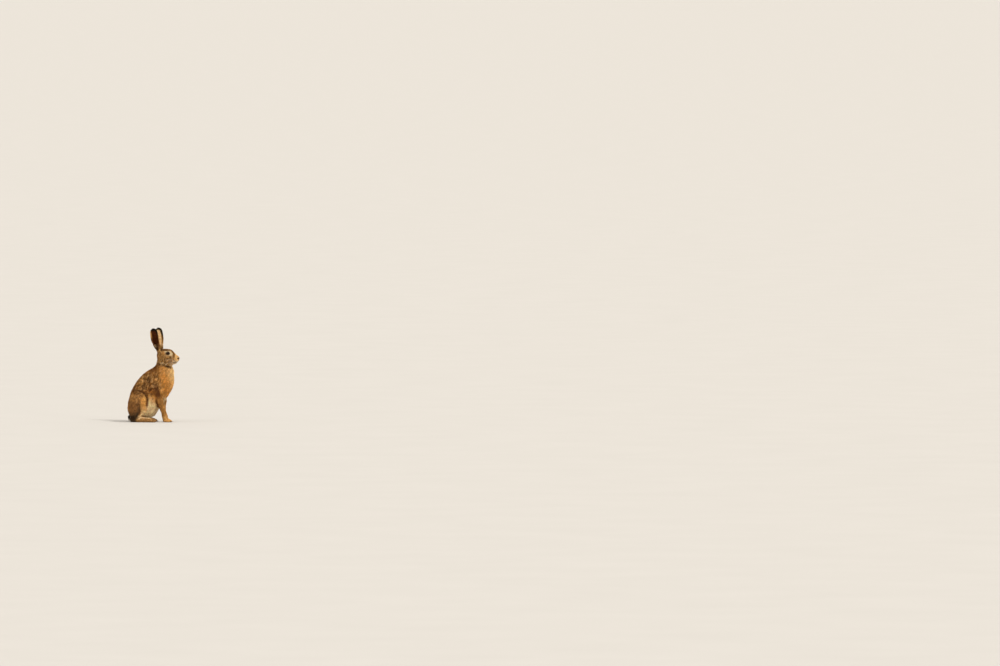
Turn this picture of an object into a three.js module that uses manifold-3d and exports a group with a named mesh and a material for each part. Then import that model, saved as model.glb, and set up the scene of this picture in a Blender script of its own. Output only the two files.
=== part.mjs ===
// A young brown hare sitting upright on straight forelegs, ears raised, looking ahead.
// Millimetres, +X to the nose, +Y to the hare's left, +Z up.
import * as THREE from "three";
import Module from "manifold-3d";
import { mergeVertices } from "three/addons/utils/BufferGeometryUtils.js";

const wasm = await Module();
wasm.setup();

// Driving sizes
const GAP = 0.3; // between two parts that touch
const CROWN = { x: 66, z: 302 }; // middle of the skull
const CHEST = { x: 29, z: 169.5 };
const BELLY = { x: -8, z: 121.5 };
const RUMP = { x: -43, z: 70 };
const EYE = { x: 86, side: 18, z: 309, r: 9.8, open: 7.9 }; // open: radius of the gap between the lids
const EAR = { length: 121.5, thick: 3.4, root: { x: 51, side: 10.5, z: 306 } };
// Degrees of lean and turn, and how far the middle of the ear bows to the rear
const EAR_POSE = { left: { back: 9.5, out: 13, turn: -8, bow: 1 }, right: { back: 14.5, out: 11, turn: 14, bow: 4 } };
const ELBOW = { side: 25.5, z: 96 };
const WRIST = { side: 21, z: 28 };
// How far forward each foreleg's elbow, middle and wrist are: the left one is upright and the right one slants
const FORE_POSE = { left: { elbow: 56, shin: 56.5, wrist: 63 }, right: { elbow: 48, shin: 62.5, wrist: 73.5 } };
const KNEE = { x: -31, side: 41, z: 105 };
const HEEL = { x: -70, side: 42, z: 12.5 };
const FOOT_LENGTH = 112; // heel to the tips of the toes
const HIND_STEP = { left: -12, right: 0 }; // the left hind leg is set a little further back
const TAIL = { x: -79, z: 38 };
const CLAW = { length: 7.5, r: 1.6 };
const FORE_TOES = { across: [-8.6, -3, 3, 8.6], middle: 22, outer: 18 }; // across the paw, and ahead of the wrist
const HIND_TOES = { across: [-11.4, -3.9, 3.9, 11.4], middle: FOOT_LENGTH - 16, outer: FOOT_LENGTH - 23 };

// How finely each part is meshed
const CELL = { head: 5, neck: 8, torso: 12, haunch: 9.5, foreleg: 6.6, forepaw: 4.6, foot: 5.8, tail: 6 };

// Fields: each form is a function of x, y, z that is negative inside and about the distance outside

// An egg with its long axis in the side view, tilted up from +X by an angle in degrees
function egg({ x, y = 0, z, long, deep, wide, tilt = 0 }) {
  const c = Math.cos(THREE.MathUtils.degToRad(tilt));
  const s = Math.sin(THREE.MathUtils.degToRad(tilt));
  return (px, py, pz) => {
    const dx = px - x;
    const dz = pz - z;
    const a = dx * c + dz * s;
    const b = dz * c - dx * s;
    const d = py - y;
    const near = Math.hypot(a / long, d / wide, b / deep);
    const slope = Math.hypot(a / long ** 2, d / wide ** 2, b / deep ** 2);
    return slope > 1e-9 ? (near * (near - 1)) / slope : -Math.min(long, deep, wide);
  };
}

// A round bar from one ball to another, squeezed sideways by a factor
function bar(from, to, squeeze = 1) {
  const [ax, ay, az, ra] = from;
  const [bx, by, bz, rb] = to;
  const ux = bx - ax;
  const uy = (by - ay) / squeeze;
  const uz = bz - az;
  const length2 = ux * ux + uy * uy + uz * uz;
  return (px, py, pz) => {
    const dx = px - ax;
    const dy = (py - ay) / squeeze;
    const dz = pz - az;
    const t = Math.min(1, Math.max(0, (dx * ux + dy * uy + dz * uz) / length2));
    return Math.hypot(dx - t * ux, dy - t * uy, dz - t * uz) - (ra + t * (rb - ra));
  };
}

// The same form on both sides of the middle plane
const paired = (form) => (x, y, z) => form(x, Math.abs(y), z);

// Two forms flow into each other over a width of about k
const flow = (a, b, k) => {
  const h = Math.max(k - Math.abs(a - b), 0) / k;
  return Math.min(a, b) - (h * h * k) / 4;
};

// A body of several forms, each with the width over which it flows into those before it
function body(parts) {
  return (x, y, z) => parts.reduce((sum, [form, k]) => flow(sum, form(x, y, z), k), 1e6);
}

// Parting planes: a point, and the direction of the side that is kept
function plane(point, direction) {
  const p = new THREE.Vector3(...point);
  const n = new THREE.Vector3(...direction).normalize();
  const beyond = (x, y, z) => n.x * (p.x - x) + n.y * (p.y - y) + n.z * (p.z - z);
  return { p, n, beyond, turned: () => plane(point, direction.map((d) => -d)) };
}

const corners = Array.from({ length: 8 }, (_, i) => [i & 1, (i >> 1) & 1, (i >> 2) & 1]);
const cellEdges = [];
for (let i = 0; i < 8; i++)
  for (const step of [1, 2, 4]) if (!(i & step)) cellEdges.push([i, i | step]);

function slopeAt(field, p, h = 0.05) {
  return new THREE.Vector3(
    field(p.x + h, p.y, p.z) - field(p.x - h, p.y, p.z),
    field(p.x, p.y + h, p.z) - field(p.x, p.y - h, p.z),
    field(p.x, p.y, p.z + h) - field(p.x, p.y, p.z - h),
  ).divideScalar(2 * h);
}

// The closed surface where a field is zero, as a mesh: one point in each crossed cell of a grid, moved onto the surface
function surface(field, low, high, cell) {
  const count = low.map((v, i) => Math.ceil((high[i] - v) / cell) + 1);
  const index = (i, j, k) => (k * count[1] + j) * count[0] + i;
  const value = new Float64Array(count[0] * count[1] * count[2]);
  for (let k = 0; k < count[2]; k++)
    for (let j = 0; j < count[1]; j++)
      for (let i = 0; i < count[0]; i++)
        value[index(i, j, k)] = field(low[0] + i * cell, low[1] + j * cell, low[2] + k * cell);

  const positions = [];
  const pointOf = new Map();
  for (let k = 0; k < count[2] - 1; k++)
    for (let j = 0; j < count[1] - 1; j++)
      for (let i = 0; i < count[0] - 1; i++) {
        const v = corners.map(([a, b, c]) => value[index(i + a, j + b, k + c)]);
        const sum = new THREE.Vector3();
        let crossed = 0;
        for (const [a, b] of cellEdges) {
          if (v[a] < 0 === v[b] < 0) continue;
          const t = v[a] / (v[a] - v[b]);
          const from = new THREE.Vector3(...corners[a]);
          sum.add(from.lerp(new THREE.Vector3(...corners[b]), t));
          crossed++;
        }
        if (!crossed) continue;
        const p = sum.divideScalar(crossed).add(new THREE.Vector3(i, j, k)).multiplyScalar(cell);
        p.add(new THREE.Vector3(...low));
        const start = p.clone();
        for (let pass = 0; pass < 3; pass++) {
          const slope = slopeAt(field, p);
          p.addScaledVector(slope, -field(p.x, p.y, p.z) / Math.max(slope.lengthSq(), 0.2));
        }
        if (p.distanceTo(start) > 0.6 * cell) p.copy(start);
        pointOf.set(index(i, j, k), positions.length / 3);
        positions.push(p.x, p.y, p.z);
      }

  const faces = [];
  const place = (n) => new THREE.Vector3().fromArray(positions, 3 * n);
  const steps = [[1, 0, 0], [0, 1, 0], [0, 0, 1]];
  for (let k = 1; k < count[2] - 1; k++)
    for (let j = 1; j < count[1] - 1; j++)
      for (let i = 1; i < count[0] - 1; i++)
        steps.forEach((step, axis) => {
          const here = value[index(i, j, k)] < 0;
          const there = value[index(i + step[0], j + step[1], k + step[2])] < 0;
          if (here === there) return;
          const u = steps[(axis + 1) % 3];
          const w = steps[(axis + 2) % 3];
          const around = [[0, 0], [1, 0], [1, 1], [0, 1]].map(([a, b]) =>
            pointOf.get(index(i - a * u[0] - b * w[0], j - a * u[1] - b * w[1], k - a * u[2] - b * w[2])));
          if (!here) around.reverse();
          const [a, b, c, d] = around;
          if (place(a).distanceTo(place(c)) < place(b).distanceTo(place(d))) faces.push(a, b, c, a, c, d);
          else faces.push(a, b, d, b, c, d);
        });
  const geometry = new THREE.BufferGeometry();
  geometry.setAttribute("position", new THREE.BufferAttribute(new Float32Array(positions), 3));
  geometry.setIndex(faces);
  return geometry;
}

// A three.js geometry as a solid that can be joined and cut
function solid(geometry) {
  const g = geometry.clone();
  for (const name of Object.keys(g.attributes)) if (name !== "position") g.deleteAttribute(name);
  const merged = mergeVertices(g, 1e-4);
  return new wasm.Manifold(
    new wasm.Mesh({
      numProp: 3,
      vertProperties: new Float32Array(merged.attributes.position.array),
      triVerts: new Uint32Array(merged.index.array),
    }),
  );
}

// The same mesh moved out along the field's slope, to cut room for a neighbour
function grown(geometry, field, by) {
  const g = geometry.clone();
  const at = g.getAttribute("position");
  const p = new THREE.Vector3();
  for (let i = 0; i < at.count; i++) {
    p.fromBufferAttribute(at, i);
    p.addScaledVector(slopeAt(field, p).normalize(), by);
    at.setXYZ(i, p.x, p.y, p.z);
  }
  return g;
}

// Everything on the kept side of a plane, less half of the gap
function keepSide(made, { p, n }) {
  const size = 900;
  const block = new THREE.BoxGeometry(size, size, size);
  block.applyQuaternion(new THREE.Quaternion().setFromUnitVectors(new THREE.Vector3(0, 0, 1), n));
  block.translate(...p.clone().addScaledVector(n, (size + GAP) / 2).toArray());
  return made.intersect(solid(block));
}

const largest = (made) => made.decompose().sort((a, b) => b.volume() - a.volume())[0];
const GROUND = plane([0, 0, -GAP / 2], [0, 0, 1]);

// Head, neck and torso: one body, parted by two planes
const skull = [
  [egg({ ...CROWN, long: 34, deep: 28, wide: 24 }), 1],
  [egg({ x: CROWN.x + 22, z: CROWN.z + 3, long: 22, deep: 20, wide: 19, tilt: -35 }), 12],
  [bar([CROWN.x + 26, 0, CROWN.z - 4, 23.5], [CROWN.x + 57, 0, CROWN.z - 15.5, 13.5], 0.86), 12],
  [bar([CROWN.x + 12, 0, CROWN.z - 26, 20], [CROWN.x + 44, 0, CROWN.z - 28, 12.5], 0.9), 14],
  [paired(egg({ x: CROWN.x + 9, y: 13, z: CROWN.z - 19, long: 26, deep: 23, wide: 16 })), 10],
  [paired(egg({ x: CROWN.x + 54, y: 6.5, z: CROWN.z - 21, long: 11, deep: 9.5, wide: 8.5, tilt: -25 })), 5],
  [egg({ x: CROWN.x + 47, z: CROWN.z - 34, long: 10, deep: 7, wide: 8 }), 6],
  [paired(bar([CROWN.x + 5, 19, CROWN.z + 17, 6.5], [CROWN.x + 27, 17, CROWN.z + 13.5, 6])), 8],
  [paired(bar([EAR.root.x, EAR.root.side, EAR.root.z, 12], [EAR.root.x - 4, EAR.root.side + 3.5, EAR.root.z + 18, 8])), 9],
];
const trunk = [
  [egg({ ...CHEST, long: 87, deep: 73, wide: 44, tilt: 33 }), 14],
  [egg({ x: CHEST.x + 23.5, z: CHEST.z + 30, long: 52.5, deep: 51.5, wide: 38, tilt: 46 }), 20],
  [bar([CROWN.x - 3, 0, CROWN.z - 41, 33.2], [CROWN.x + 1, 0, CROWN.z - 73.5, 43.5], 0.74), 16],
  [egg({ ...BELLY, long: 98, deep: 76.5, wide: 50, tilt: 51.5 }), 24],
  [egg({ ...RUMP, long: 63, deep: 51, wide: 55, tilt: 40 }), 24],
  [egg({ x: BELLY.x + 13, z: BELLY.z - 50, long: 52.5, deep: 33.5, wide: 34, tilt: 86 }), 20],
  [paired(egg({ x: CHEST.x + 12, y: 30, z: CHEST.z - 14, long: 46, deep: 25, wide: 18, tilt: 72 })), 14],
];
const whole = body([...skull, ...trunk]);
const jawLine = plane([CROWN.x, 0, CROWN.z - 44], [0.343, 0, 0.94]);
const collarLine = plane([CROWN.x - 6, 0, CROWN.z - 80], [0.39, 0, 0.92]);

// Meshes a part of a field a little past its parting planes, for the planes to cut
function sliceOf(field, cell, low, high, ...planes) {
  const margin = 1.5 * cell;
  return surface((x, y, z) => planes.reduce((f, side) => Math.max(f, side.beyond(x, y, z) - margin), field(x, y, z)),
    low, high, cell);
}
const headMesh = sliceOf(whole, CELL.head, [8, -48.1, 220], [150, 48.1, 352], jawLine);
const neckMesh = sliceOf(whole, CELL.neck, [-30, -57, 170], [140, 57, 300], jawLine.turned(), collarLine);
const torsoMesh = sliceOf(whole, CELL.torso, [-125, -72, -20], [135, 72, 300], collarLine.turned());
const headRoom = solid(grown(headMesh, whole, GAP));
const torsoRoom = solid(grown(torsoMesh, whole, GAP));

// The point where a line from inside the body leaves it
function onSkin(from, direction, field = whole) {
  const p = from.clone();
  const step = direction.clone().normalize();
  for (let i = 0; i < 60; i++) p.addScaledVector(step, -0.8 * field(p.x, p.y, p.z));
  return p;
}

// A round string along a line of points, closed at both ends
function string(points, r, sides = 6) {
  const ring = new THREE.Shape();
  ring.absarc(0, 0, r, 0, 2 * Math.PI);
  const path = new THREE.CatmullRomCurve3(points);
  return new THREE.ExtrudeGeometry(ring, { steps: 2 * points.length, curveSegments: sides / 2, extrudePath: path });
}

// Eyes: balls in sockets, each between two lids
const eyeAxis = (side) => new THREE.Vector3(0.2, side, 0.12).normalize();
const eyeAt = (side) => new THREE.Vector3(EYE.x, side * EYE.side, EYE.z);
const eyeBall = (side, r) => new THREE.SphereGeometry(r, 16, 10).translate(...eyeAt(side).toArray());

function lids(side) {
  const thick = 1.8;
  const ring = new THREE.TorusGeometry(EYE.open + 0.75 * thick, thick, 7, 18).scale(1.08, 0.92, 1);
  ring.applyQuaternion(new THREE.Quaternion().setFromUnitVectors(new THREE.Vector3(0, 0, 1), eyeAxis(side)));
  const rim = Math.sqrt(EYE.r ** 2 - EYE.open ** 2) - 0.4;
  return ring.translate(...eyeAt(side).addScaledVector(eyeAxis(side), rim).toArray());
}

// Mouth: a groove round the front of the muzzle, and the split of the upper lip above it
const mouthMiddle = new THREE.Vector3(CROWN.x + 42, 0, CROWN.z - 29);
const mouthCorner = 100; // degrees round the muzzle
const mouthLine = Array.from({ length: 15 }, (_, i) => {
  const turn = THREE.MathUtils.degToRad(((i - 7) / 7) * mouthCorner);
  const drop = -3.2 * Math.sin(Math.abs(turn)) + 2.4 * (Math.abs(turn) / 1.75) ** 4;
  const from = mouthMiddle.clone().setZ(mouthMiddle.z + drop + 2);
  return onSkin(from, new THREE.Vector3(Math.cos(turn), Math.sin(turn), 0));
});
const lipSplit = [12, 4, -8, -20].map((up) =>
  onSkin(new THREE.Vector3(CROWN.x + 54, 0, CROWN.z - 18), new THREE.Vector3(1, 0, Math.tan(THREE.MathUtils.degToRad(up - 12)))));
const nostril = (side) => {
  const slit = new THREE.SphereGeometry(1, 10, 8).scale(4.2, 3.2, 1.7).rotateY(0.75);
  return slit.translate(CROWN.x + 64.5, side * 9.2, CROWN.z - 15.5);
};

// Ears: a cup that opens sideways from a rolled root, leaning back and out
const earWidth = new THREE.SplineCurve([
  [0, 10], [0.15, 10.6], [0.3, 12.6], [0.44, 15.4], [0.6, 18.2], [0.75, 19], [0.88, 17.2], [0.955, 12.8], [1, 3],
].map(([t, half]) => new THREE.Vector2(t, half)));
const earCurl = (t) => THREE.MathUtils.degToRad(34 + 128 * (1 - THREE.MathUtils.smoothstep(t, 0.12, 0.95)));

function earMesh(side) {
  const pose = side > 0 ? EAR_POSE.left : EAR_POSE.right;
  const [back, out, turn] = [pose.back, pose.out, pose.turn].map(THREE.MathUtils.degToRad);
  const along = new THREE.Vector3(-Math.tan(back), side * Math.tan(out), 1).normalize();
  const open = new THREE.Vector3(-Math.sin(turn), side * Math.cos(turn), 0);
  open.addScaledVector(along, -open.dot(along)).normalize();
  const across = new THREE.Vector3().crossVectors(along, open);
  const [rows, columns] = [14, 8];
  const root = new THREE.Vector3(EAR.root.x, side * EAR.root.side, EAR.root.z);
  const points = [];
  for (const layer of [-1, 1])
    for (let i = 0; i <= rows; i++) {
      const t = (i / rows) ** 0.9;
      const half = earWidth.getPoint(t).y;
      const curl = earCurl(earWidth.getPoint(t).x);
      const radius = curl > Math.PI / 2 ? half : half / Math.sin(curl);
      const centre = root.clone().addScaledVector(along, earWidth.getPoint(t).x * EAR.length);
      centre.addScaledVector(open, (radius * (1 + Math.cos(curl))) / 2);
      centre.x -= pose.bow * Math.sin(Math.PI * earWidth.getPoint(t).x) ** 2;
      for (let j = 0; j <= columns; j++) {
        const v = (2 * j) / columns - 1;
        const thick = EAR.thick * (1 - 0.3 * t) * (1 - 0.4 * v * v);
        const r = radius + (layer * thick) / 2;
        points.push(centre.clone().addScaledVector(across, r * Math.sin(v * curl)).addScaledVector(open, -r * Math.cos(v * curl)));
      }
    }
  const width = columns + 1;
  const outer = (rows + 1) * width;
  const faces = [];
  const quad = (a, b, c, d) => faces.push(a, b, c, a, c, d);
  for (let i = 0; i < rows; i++)
    for (let j = 0; j < columns; j++) {
      const a = i * width + j;
      quad(a, a + 1, a + width + 1, a + width);
      faces.push(outer + a, outer + a + width + 1, outer + a + 1, outer + a, outer + a + width, outer + a + width + 1);
    }
  for (let i = 0; i < rows; i++) {
    const a = i * width;
    const b = a + columns;
    quad(a, a + width, outer + a + width, outer + a);
    quad(b, outer + b, outer + b + width, b + width);
  }
  for (let j = 0; j < columns; j++) {
    const a = rows * width + j;
    quad(j, outer + j, outer + j + 1, j + 1);
    quad(a, a + 1, outer + a + 1, outer + a);
  }
  const geometry = new THREE.BufferGeometry().setFromPoints(points);
  return geometry.setIndex(faces);
}

// Limbs, for the left side
const toes = ({ across, middle, outer }, x, side) =>
  across.map((y, i) => [x + (i === 0 || i === across.length - 1 ? outer : middle), side + y]);

const forelimb = ({ elbow, shin, wrist }) => body([
  [bar([elbow - 8, ELBOW.side + 3, ELBOW.z + 30, 20], [elbow, ELBOW.side, ELBOW.z, 16]), 1],
  [bar([elbow, ELBOW.side, ELBOW.z, 15.5], [shin, WRIST.side + 2, WRIST.z + 32, 12.4]), 8],
  [bar([shin, WRIST.side + 2, WRIST.z + 32, 12], [wrist, WRIST.side, WRIST.z, 11.4]), 6],
  [bar([wrist, WRIST.side, WRIST.z - 4, 11.2], [wrist + 5, WRIST.side, WRIST.z - 18.5, 10.5]), 6],
  [bar([wrist + 3, WRIST.side, WRIST.z - 19.5, 10], [wrist + 16, WRIST.side, WRIST.z - 21, 8.5]), 6],
  ...toes(FORE_TOES, wrist, WRIST.side).map(([x, y]) => [
    egg({ x, y, z: 5.4, long: 9.5, deep: 6.4, wide: 4.8, tilt: -14 }), 2.5]),
]);
const hindFoot = body([
  [bar([HEEL.x, HEEL.side, HEEL.z, 13.5], [HEEL.x + 38, HEEL.side, HEEL.z - 2, 12]), 1],
  [bar([HEEL.x + 38, HEEL.side, HEEL.z - 2, 12], [HEEL.x + 82, HEEL.side + 1, HEEL.z - 3.5, 11]), 6],
  ...toes(HIND_TOES, HEEL.x, HEEL.side + 1).map(([x, y]) => [
    egg({ x, y, z: 7, long: 14, deep: 7.4, wide: 5.6, tilt: -10 }), 3]),
]);
const haunchForm = body([
  [bar([KNEE.x, KNEE.side, KNEE.z, 25], [KNEE.x - 24, KNEE.side, KNEE.z - 17, 36], 0.62), 1],
  [bar([KNEE.x - 24, KNEE.side, KNEE.z - 17, 36], [KNEE.x - 28, KNEE.side + 1, KNEE.z - 67, 26], 0.64), 10],
  [bar([KNEE.x + 4, KNEE.side + 2, KNEE.z - 8, 18], [KNEE.x - 18, KNEE.side + 3, KNEE.z - 71, 17], 0.8), 8],
]);
const wristLine = ({ wrist }) => plane([wrist, 0, WRIST.z - 2], [-0.25, 0, 1]);

// A short cone ahead of the middle of each toe, pointing a little down
function claws(at, side, z, ahead) {
  return at.map(([x, y]) => {
    const cone = new THREE.ConeGeometry(CLAW.r, CLAW.length, 6).rotateZ(-Math.PI / 2).rotateY(0.35);
    return cone.translate(x + ahead, side * y, z);
  });
}
const joined = (made, pieces) => pieces.reduce((sum, piece) => sum.add(solid(piece)), made);
const mirrored = (geometry, side, along = 0) => {
  const g = geometry.clone().translate(along, 0, 0);
  if (side > 0) return g;
  g.scale(1, -1, 1);
  const order = g.index.array;
  for (let i = 0; i < order.length; i += 3) [order[i + 1], order[i + 2]] = [order[i + 2], order[i + 1]];
  return g;
};

const limbBox = (x0, x1, z0, z1) => [[x0, -12, z0], [x1, 84, z1]];
const footMesh = surface(hindFoot, ...limbBox(-100, 50, -20, 45), CELL.foot);
const haunchMesh = surface(haunchForm, ...limbBox(-120, 10, -10, 150), CELL.haunch);
const footRoom = grown(footMesh, hindFoot, GAP);
const haunchRoom = grown(haunchMesh, haunchForm, GAP);

const tailForm = body([
  [bar([TAIL.x, 0, TAIL.z, 11], [TAIL.x - 6, -13, TAIL.z - 16, 11.5]), 1],
  [bar([TAIL.x - 6, -13, TAIL.z - 16, 11.5], [TAIL.x - 6, -33, TAIL.z - 26, 8]), 8],
]);
const tailMesh = surface(tailForm, [-120, -62, -15], [-50, 20, 65], CELL.tail);

// Colours of the coat on each part
const FUR = { back: "#8a6238", face: "#86623a", chest: "#c98d50", ear: "#5a3a20", tail: "#1d1712", foot: "#9a7040" };
const fur = (color) => new THREE.MeshStandardMaterial({ color, roughness: 0.9, metalness: 0 });
const eyeGloss = new THREE.MeshStandardMaterial({ color: "#2a1608", roughness: 0.1, metalness: 0 });
const hare = new THREE.Group();

function add(name, made, material) {
  const { vertProperties, triVerts } = made.getMesh();
  const geometry = new THREE.BufferGeometry();
  geometry.setAttribute("position", new THREE.BufferAttribute(vertProperties, 3));
  geometry.setIndex(new THREE.BufferAttribute(triVerts, 1));
  geometry.computeVertexNormals();
  const mesh = new THREE.Mesh(geometry, material);
  mesh.name = name;
  hare.add(mesh);
}

const SIDES = [["left", 1], ["right", -1]];
let head = keepSide(solid(headMesh), jawLine);
let torso = keepSide(solid(torsoMesh), collarLine.turned());
for (const [label, side] of SIDES) {
  head = joined(head, [lids(side)]);
  head = head.subtract(solid(eyeBall(side, EYE.r + GAP))).subtract(solid(nostril(side)));
  for (const room of [haunchRoom, footRoom]) torso = torso.subtract(solid(mirrored(room, side, HIND_STEP[label])));
}
head = head.subtract(solid(string(mouthLine, 1))).subtract(solid(string(lipSplit, 0.9)));
add("head", largest(head), fur(FUR.face));
add("neck", keepSide(keepSide(solid(neckMesh), jawLine.turned()), collarLine), fur(FUR.chest));
add("torso", largest(torso), fur(FUR.back));

for (const [label, side] of SIDES) {
  const step = HIND_STEP[label];
  const placed = (geometry, along = 0) => solid(mirrored(geometry, side, along));
  add(`eye_${label}`, solid(eyeBall(side, EYE.r)), eyeGloss);
  add(`ear_${label}`, largest(solid(earMesh(side)).subtract(headRoom)), fur(FUR.ear));
  const pose = FORE_POSE[label];
  const above = wristLine(pose);
  const forelegMesh = sliceOf(forelimb(pose), CELL.foreleg, ...limbBox(5, 110, 5, 160), above);
  const forepawMesh = sliceOf(forelimb(pose), CELL.forepaw, ...limbBox(40, 118, -20, 50), above.turned());
  add(`foreleg_${label}`, largest(keepSide(placed(forelegMesh), above).subtract(torsoRoom)), fur(FUR.chest));
  const pawClaws = claws(toes(FORE_TOES, pose.wrist, WRIST.side), side, 4.4, 10);
  const paw = joined(keepSide(placed(forepawMesh), above.turned()), pawClaws);
  add(`forepaw_${label}`, largest(keepSide(paw, GROUND)), fur(FUR.foot));
  const haunch = placed(haunchMesh, step).subtract(placed(footRoom, step));
  add(`haunch_${label}`, largest(keepSide(haunch, GROUND)), fur(FUR.back));
  const footClaws = claws(toes(HIND_TOES, HEEL.x + step, HEEL.side + 1), side, 4.8, 14);
  add(`hind_foot_${label}`, largest(keepSide(joined(placed(footMesh, step), footClaws), GROUND)), fur(FUR.foot));
}
let tail = solid(tailMesh).subtract(torsoRoom);
for (const room of [haunchRoom, footRoom]) tail = tail.subtract(solid(mirrored(room, -1)));
add("tail", largest(keepSide(tail, GROUND)), fur(FUR.tail));

const bounds = new THREE.Box3().setFromObject(hare);
const middle = bounds.getCenter(new THREE.Vector3());
hare.position.set(-middle.x, -middle.y, -bounds.min.z);

export default hare;
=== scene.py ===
import math

import bmesh
import bpy
import numpy as np
from mathutils import Matrix, Vector
from mathutils.bvhtree import BVHTree


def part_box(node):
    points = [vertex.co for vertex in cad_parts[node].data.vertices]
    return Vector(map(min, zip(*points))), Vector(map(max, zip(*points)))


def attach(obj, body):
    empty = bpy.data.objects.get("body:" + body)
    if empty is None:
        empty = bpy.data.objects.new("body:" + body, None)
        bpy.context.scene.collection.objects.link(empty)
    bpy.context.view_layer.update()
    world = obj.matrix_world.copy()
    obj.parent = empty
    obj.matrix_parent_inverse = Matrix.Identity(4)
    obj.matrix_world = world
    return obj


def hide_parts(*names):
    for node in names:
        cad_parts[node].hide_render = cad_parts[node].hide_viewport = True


# A young brown hare sitting up, with a coat of short tufts over one skin
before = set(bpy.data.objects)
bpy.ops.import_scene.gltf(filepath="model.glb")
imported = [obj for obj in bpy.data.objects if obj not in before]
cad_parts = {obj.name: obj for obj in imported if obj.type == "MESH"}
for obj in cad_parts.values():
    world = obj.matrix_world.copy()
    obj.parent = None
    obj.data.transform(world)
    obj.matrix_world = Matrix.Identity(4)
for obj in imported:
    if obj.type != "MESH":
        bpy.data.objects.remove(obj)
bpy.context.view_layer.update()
mm = 0.001
shiftX = 15.56  # mm from the frame's origin to the point that the measures below start from
print("frame loaded")


# Small helpers

def selectOnly(*objs):
    bpy.ops.object.select_all(action="DESELECT")
    for obj in objs:
        obj.select_set(True)
    bpy.context.view_layer.objects.active = objs[0]


def applyModifier(obj, kind, **settings):
    selectOnly(obj)
    modifier = obj.modifiers.new("step", kind)
    for name, value in settings.items():
        setattr(modifier, name, value)
    bpy.ops.object.modifier_apply(modifier=modifier.name)


def editAll(obj, operator, **settings):
    selectOnly(obj)
    bpy.ops.object.mode_set(mode="EDIT")
    bpy.ops.mesh.select_all(action="SELECT")
    operator(**settings)
    bpy.ops.object.mode_set(mode="OBJECT")


def copyOfNode(name):
    obj = bpy.data.objects.new(f"{name}Copy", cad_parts[name].data.copy())
    obj.data.transform(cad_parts[name].matrix_world)
    obj.data.materials.clear()
    bpy.context.collection.objects.link(obj)
    shape = bmesh.new()
    shape.from_mesh(obj.data)
    bmesh.ops.remove_doubles(shape, verts=shape.verts, dist=0.002 * mm)
    shape.to_mesh(obj.data)
    shape.free()
    return obj


# Drops the scraps that the remesh leaves in closed gaps
def keepLargest(obj):
    shape = bmesh.new()
    shape.from_mesh(obj.data)
    unseen = set(shape.verts)
    groups = []
    while unseen:
        group = [unseen.pop()]
        for vertex in group:
            linked = [edge.other_vert(vertex) for edge in vertex.link_edges]
            linked = [other for other in linked if other in unseen]
            unseen.difference_update(linked)
            group += linked
        groups.append(group)
    groups.sort(key=len)
    bmesh.ops.delete(shape, geom=[vertex for group in groups[:-1] for vertex in group], context="VERTS")
    shape.to_mesh(obj.data)
    shape.free()


def joinAll(objs, name):
    selectOnly(*objs)
    bpy.ops.object.join()
    objs[0].name = name
    objs[0].data.name = name
    return objs[0]


def readAll(items, name, width, kind=np.float32):
    values = np.empty(width * len(items), kind)
    items.foreach_get(name, values)
    return values.reshape(-1, width)


def readPoints(mesh):
    return readAll(mesh.vertices, "co", 3).astype(float)


def writePoints(mesh, co):
    mesh.vertices.foreach_set("co", co.astype(np.float32).ravel())
    mesh.update()


def readNormals(mesh):
    return readAll(mesh.vertex_normals, "vector", 3).astype(float)


def toMm(co):
    return co / mm + [shiftX, 0, 0]


def toMetres(p):
    return (p - [shiftX, 0, 0]) * mm


def unit(v):
    return v / np.maximum(np.linalg.norm(v, axis=-1, keepdims=True), 1e-9)


def ease(low, high, value):
    t = np.clip((value - low) / (high - low), 0, 1)
    return t * t * (3 - 2 * t)


def fade(low, high, value):
    return 1 - ease(low, high, value)


# 1 where a distance has the given value, and less to both sides of it
def ridge(far, at, width):
    return np.exp(-(((far - at) / width) ** 2))


# 1 inside an egg-shaped region, 0 outside it, with a soft edge; the same on both sides unless side is given
def region(p, centre, radii, soft=0.25, side=0):
    y = np.abs(p[:, 1]) if side == 0 else p[:, 1] * side
    q = np.stack([p[:, 0], y, p[:, 2]], 1)
    far = np.linalg.norm((q - centre) / radii, axis=1)
    return fade(1 - soft, 1 + soft, far)


# Distance in mm from a line of points, in the side view or in space
def fromLine(p, line, flat=True):
    axes = [0, 2] if flat else [0, 1, 2]
    q = p[:, axes]
    near = np.full(len(p), 1e9)
    for a, b in zip(line[:-1], line[1:]):
        a, b = np.array(a, float), np.array(b, float)
        t = np.clip(((q - a) @ (b - a)) / ((b - a) @ (b - a)), 0, 1)
        near = np.minimum(near, np.linalg.norm(q - a - t[:, None] * (b - a), axis=1))
    return near


# Smooth noise from -1 to 1, a sum of waves with the given length in mm
def softNoise(p, length, seed, waves=7):
    random = np.random.default_rng(seed)
    total = np.zeros(len(p))
    for i in range(waves):
        way = random.normal(size=3)
        way *= 2 * math.pi / (np.linalg.norm(way) * length * random.uniform(0.7, 1.4))
        total += np.sin(p @ way + random.uniform(0, 2 * math.pi))
    return np.clip(total / waves * 1.9, -1, 1)


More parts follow.
